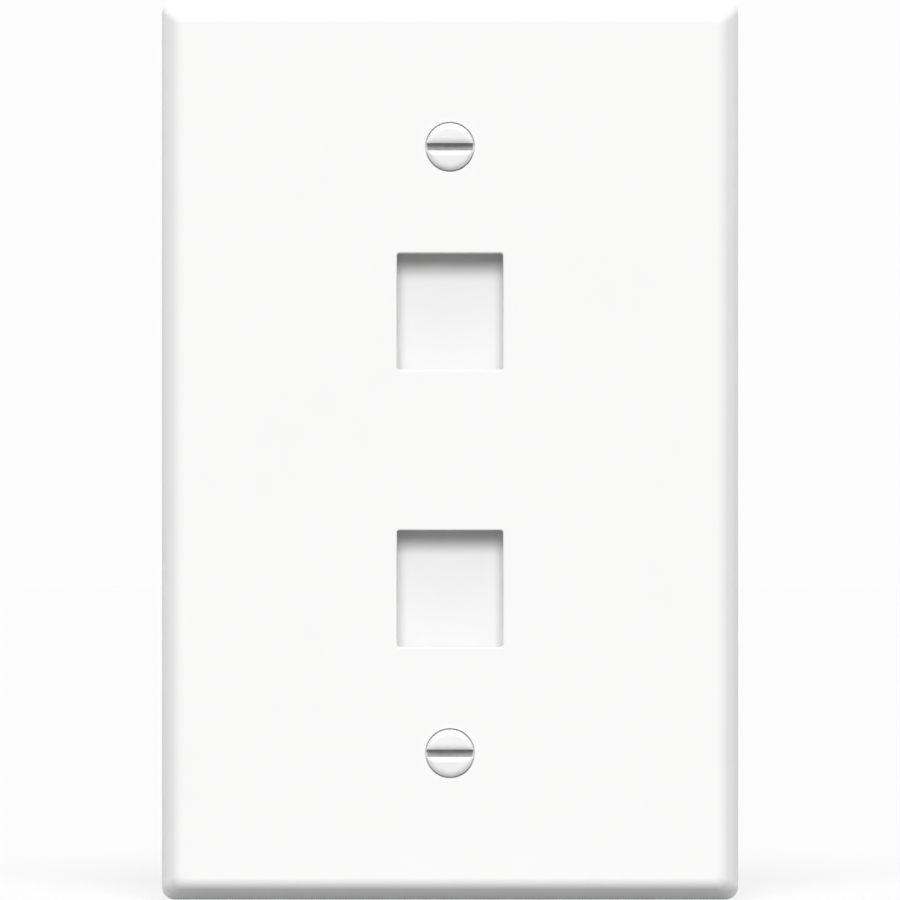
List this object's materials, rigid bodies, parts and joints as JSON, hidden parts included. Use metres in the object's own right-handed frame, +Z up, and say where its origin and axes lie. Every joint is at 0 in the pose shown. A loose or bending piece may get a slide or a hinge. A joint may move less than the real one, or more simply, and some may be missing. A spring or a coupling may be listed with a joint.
{
  "type": "keystone faceplate",
  "caption": "White wall plate with rounded edges, rectangular keystone jack ports with catches behind them, and slotted oval-head screws in countersunk holes.",
  "frame": {"origin": "middle of the wall plane, halfway between the two screw axes", "axes": "+Z up the wall, +Y into the wall along the screws, and the front face looks along -Y"},
  "size_m": [0.0794, 0.0265, 0.124],
  "materials": {
    "white_plastic": "smooth moulded ABS, low gloss",
    "screw_steel": "white enamel on the head, zinc plate on the shank"
  },
  "bodies": {
    "root": {"faceplate": "white_plastic", "upper_screw": "screw_steel", "lower_screw": "screw_steel"}
  },
  "joints": []
}
